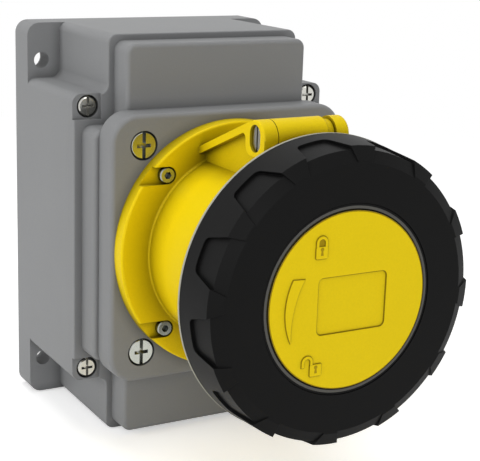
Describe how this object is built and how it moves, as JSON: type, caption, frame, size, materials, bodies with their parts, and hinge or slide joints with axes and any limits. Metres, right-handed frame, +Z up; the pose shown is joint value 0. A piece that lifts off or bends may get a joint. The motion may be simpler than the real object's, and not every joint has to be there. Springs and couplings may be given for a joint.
{
  "type": "surface-mounted industrial socket",
  "caption": "Wall box with a round pin-and-sleeve socket on its front, closed by a hinged lid with a bayonet locking ring.",
  "frame": {"origin": "centre of the flat back face, on the socket's axis", "axes": "+X right and +Z up seen from the front, -Y out from the wall along the socket's axis"},
  "size_m": [0.1188, 0.1834, 0.1712],
  "materials": {
    "grey_housing": "moulded light grey plastic, satin",
    "yellow_shell": "moulded signal yellow plastic, semi-gloss",
    "black_ring": "moulded black plastic, fine texture",
    "dark_collar": "moulded dark grey plastic",
    "light_trim": "light grey soft plastic",
    "insulator": "black insulating plastic",
    "steel": "zinc-plated steel",
    "brass": "turned brass",
    "seal": "soft black rubber"
  },
  "bodies": {
    "socket": {"base": "grey_housing", "cover": "grey_housing", "adapter_plate": "grey_housing", "cover_screws": "steel", "adapter_screws": "steel", "flange_screws": "steel", "hinge_pin": "steel", "hinge_spring": "steel", "cover_gasket": "seal", "adapter_gasket": "seal", "flange_gasket": "seal", "flange_inserts": "brass", "socket_body": "yellow_shell", "carrier_front": "insulator", "carrier_rear": "insulator", "carrier_screws": "steel", "carrier_rear_screws": "steel", "contact_springs": "steel", "terminal_screws": "steel", "line_contacts": "brass", "earth_contact": "brass", "pilot_contact": "brass", "earth_rail": "brass", "earth_rail_fixings": "steel", "earth_rail_screws": "steel"},
    "lid": {"lid": "yellow_shell", "lid_seal": "seal", "retaining_collar": "dark_collar"},
    "ring": {"locking_ring": "black_ring", "edge_trim": "light_trim"}
  },
  "joints": [
    {"name": "lid_hinge", "type": "hinge", "parent": "socket", "child": "lid", "pos_m": [0, -0.1442, 0.0538], "axis": [-1, 0, 0], "range_deg": [0, 150], "stiffness_Nm_per_rad": 0.02, "springref_deg": -20.05},
    {"name": "ring_turn", "type": "hinge", "parent": "lid", "child": "ring", "pos_m": [0, -0.181, 0], "axis": [0, 1, 0], "range_deg": [0, 40]}
  ]
}
